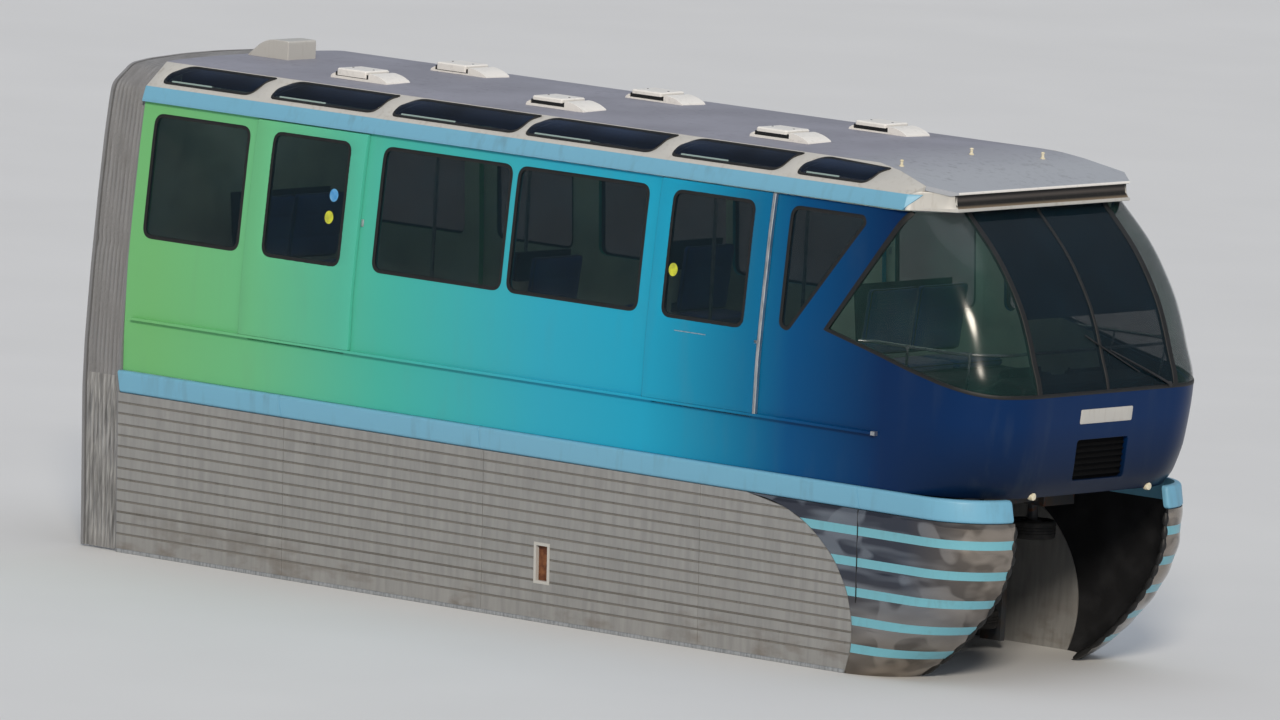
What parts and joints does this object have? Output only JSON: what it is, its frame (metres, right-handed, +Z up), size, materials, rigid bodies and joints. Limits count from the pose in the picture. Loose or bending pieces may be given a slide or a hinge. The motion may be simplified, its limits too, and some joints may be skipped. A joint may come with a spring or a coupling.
{
  "type": "monorail car",
  "caption": "Straddle monorail end car with a glazed raked nose, outside sliding doors, skirts over the beam and steered bogies on rubber tyres.",
  "frame": {"origin": "on the guide beam's running surface, on its centre line, below the rear face of the body, at the foot of the load tyres' plane", "axes": "+X towards the nose, +Y to the car's left, +Z up"},
  "size_m": [10, 3.1028, 4.375],
  "materials": {
    "body_paint": "gloss paint fading from green at the rear to navy at the nose",
    "nose_paint": "gloss navy paint",
    "band_paint": "gloss light blue paint",
    "roof_paint": "satin grey paint with cream edges",
    "skirt_panel": "grooved weathered grey panels",
    "nose_skirt_panel": "glossy dark panels with light blue stripes",
    "bellows": "coated pleated fabric",
    "glass": "tinted",
    "gasket": "black",
    "seat": "navy upholstery",
    "interior_panel": "moulded panels",
    "dark_panel": "matt dark paint",
    "steel": "brushed",
    "bogie_steel": "painted steel, road grime",
    "tyre": "worn rubber"
  },
  "bodies": {
    "root": {"floor": "interior_panel", "rear_bulkhead": "interior_panel", "bellows": "bellows", "rear_coupler": "bogie_steel", "roof": "roof_paint", "canopy": "roof_paint", "nose_cowl": "nose_paint", "windscreen_frame": "gasket", "windscreen_front": "glass", "equipment_boxes": "dark_panel", "seat_rear": "seat", "seat_front": "seat", "driver_desk": "dark_panel", "handrails": "steel", "side_wall_right": "body_paint", "cantrail_right": "band_paint", "lower_band_right": "band_paint", "side_skirt_right": "skirt_panel", "nose_skirt_right": "nose_skirt_panel", "skylight_glass_right": "glass", "rear_window_right": "glass", "middle_window_right": "glass", "wedge_window_right": "glass", "windscreen_side_right": "glass", "seat_middle_right": "seat", "side_wall_left": "body_paint", "cantrail_left": "band_paint", "lower_band_left": "band_paint", "side_skirt_left": "skirt_panel", "nose_skirt_left": "nose_skirt_panel", "skylight_glass_left": "glass", "rear_window_left": "glass", "middle_window_left": "glass", "wedge_window_left": "glass", "windscreen_side_left": "glass", "seat_middle_left": "seat"},
    "door_rear_right": {"door_rear_right": "body_paint", "door_glass_rear_right": "glass"},
    "door_rear_left": {"door_rear_left": "body_paint", "door_glass_rear_left": "glass"},
    "door_front_right": {"door_front_right": "body_paint", "door_glass_front_right": "glass"},
    "door_front_left": {"door_front_left": "body_paint", "door_glass_front_left": "glass"},
    "bogie_rear": {"bogie_rear": "bogie_steel"},
    "load_axle_rear": {"load_axle_rear": "tyre"},
    "guide_wheel_rear_fore_right": {"guide_wheel_rear_fore_right": "tyre"},
    "guide_wheel_rear_aft_right": {"guide_wheel_rear_aft_right": "tyre"},
    "stabiliser_wheel_rear_right": {"stabiliser_wheel_rear_right": "tyre"},
    "guide_wheel_rear_fore_left": {"guide_wheel_rear_fore_left": "tyre"},
    "guide_wheel_rear_aft_left": {"guide_wheel_rear_aft_left": "tyre"},
    "stabiliser_wheel_rear_left": {"stabiliser_wheel_rear_left": "tyre"},
    "bogie_front": {"bogie_front": "bogie_steel"},
    "load_axle_front": {"load_axle_front": "tyre"},
    "guide_wheel_front_fore_right": {"guide_wheel_front_fore_right": "tyre"},
    "guide_wheel_front_aft_right": {"guide_wheel_front_aft_right": "tyre"},
    "stabiliser_wheel_front_right": {"stabiliser_wheel_front_right": "tyre"},
    "guide_wheel_front_fore_left": {"guide_wheel_front_fore_left": "tyre"},
    "guide_wheel_front_aft_left": {"guide_wheel_front_aft_left": "tyre"},
    "stabiliser_wheel_front_left": {"stabiliser_wheel_front_left": "tyre"}
  },
  "joints": [
    {"name": "door_rear_right_slide", "type": "slide", "parent": "root", "child": "door_rear_right", "axis": [-1, 0, 0], "range_m": [0, 1.18]},
    {"name": "door_rear_left_slide", "type": "slide", "parent": "root", "child": "door_rear_left", "axis": [-1, 0, 0], "range_m": [0, 1.18]},
    {"name": "door_front_right_slide", "type": "slide", "parent": "root", "child": "door_front_right", "axis": [1, 0, 0], "range_m": [0, 1.18]},
    {"name": "door_front_left_slide", "type": "slide", "parent": "root", "child": "door_front_left", "axis": [1, 0, 0], "range_m": [0, 1.18]},
    {"name": "bogie_rear_yaw", "type": "hinge", "parent": "root", "child": "bogie_rear", "pos_m": [0.95, 0, 0.6], "axis": [0, 0, 1], "range_deg": [-3, 3]},
    {"name": "load_axle_rear_spin", "type": "hinge", "parent": "bogie_rear", "child": "load_axle_rear", "pos_m": [0.95, 0, 0.5], "axis": [0, 1, 0], "continuous": true},
    {"name": "guide_wheel_rear_fore_right_spin", "type": "hinge", "parent": "bogie_rear", "child": "guide_wheel_rear_fore_right", "pos_m": [1.51, -0.657, -0.2], "axis": [0, 0, 1], "continuous": true},
    {"name": "guide_wheel_rear_aft_right_spin", "type": "hinge", "parent": "bogie_rear", "child": "guide_wheel_rear_aft_right", "pos_m": [0.39, -0.657, -0.2], "axis": [0, 0, 1], "continuous": true},
    {"name": "stabiliser_wheel_rear_right_spin", "type": "hinge", "parent": "bogie_rear", "child": "stabiliser_wheel_rear_right", "pos_m": [0.95, -0.657, -1.02], "axis": [0, 0, 1], "continuous": true},
    {"name": "guide_wheel_rear_fore_left_spin", "type": "hinge", "parent": "bogie_rear", "child": "guide_wheel_rear_fore_left", "pos_m": [1.51, 0.657, -0.2], "axis": [0, 0, 1], "continuous": true},
    {"name": "guide_wheel_rear_aft_left_spin", "type": "hinge", "parent": "bogie_rear", "child": "guide_wheel_rear_aft_left", "pos_m": [0.39, 0.657, -0.2], "axis": [0, 0, 1], "continuous": true},
    {"name": "stabiliser_wheel_rear_left_spin", "type": "hinge", "parent": "bogie_rear", "child": "stabiliser_wheel_rear_left", "pos_m": [0.95, 0.657, -1.02], "axis": [0, 0, 1], "continuous": true},
    {"name": "bogie_front_yaw", "type": "hinge", "parent": "root", "child": "bogie_front", "pos_m": [7.75, 0, 0.6], "axis": [0, 0, 1], "range_deg": [-3, 3]},
    {"name": "load_axle_front_spin", "type": "hinge", "parent": "bogie_front", "child": "load_axle_front", "pos_m": [7.75, 0, 0.5], "axis": [0, 1, 0], "continuous": true},
    {"name": "guide_wheel_front_fore_right_spin", "type": "hinge", "parent": "bogie_front", "child": "guide_wheel_front_fore_right", "pos_m": [8.31, -0.657, -0.2], "axis": [0, 0, 1], "continuous": true},
    {"name": "guide_wheel_front_aft_right_spin", "type": "hinge", "parent": "bogie_front", "child": "guide_wheel_front_aft_right", "pos_m": [7.19, -0.657, -0.2], "axis": [0, 0, 1], "continuous": true},
    {"name": "stabiliser_wheel_front_right_spin", "type": "hinge", "parent": "bogie_front", "child": "stabiliser_wheel_front_right", "pos_m": [7.75, -0.657, -1.02], "axis": [0, 0, 1], "continuous": true},
    {"name": "guide_wheel_front_fore_left_spin", "type": "hinge", "parent": "bogie_front", "child": "guide_wheel_front_fore_left", "pos_m": [8.31, 0.657, -0.2], "axis": [0, 0, 1], "continuous": true},
    {"name": "guide_wheel_front_aft_left_spin", "type": "hinge", "parent": "bogie_front", "child": "guide_wheel_front_aft_left", "pos_m": [7.19, 0.657, -0.2], "axis": [0, 0, 1], "continuous": true},
    {"name": "stabiliser_wheel_front_left_spin", "type": "hinge", "parent": "bogie_front", "child": "stabiliser_wheel_front_left", "pos_m": [7.75, 0.657, -1.02], "axis": [0, 0, 1], "continuous": true}
  ]
}
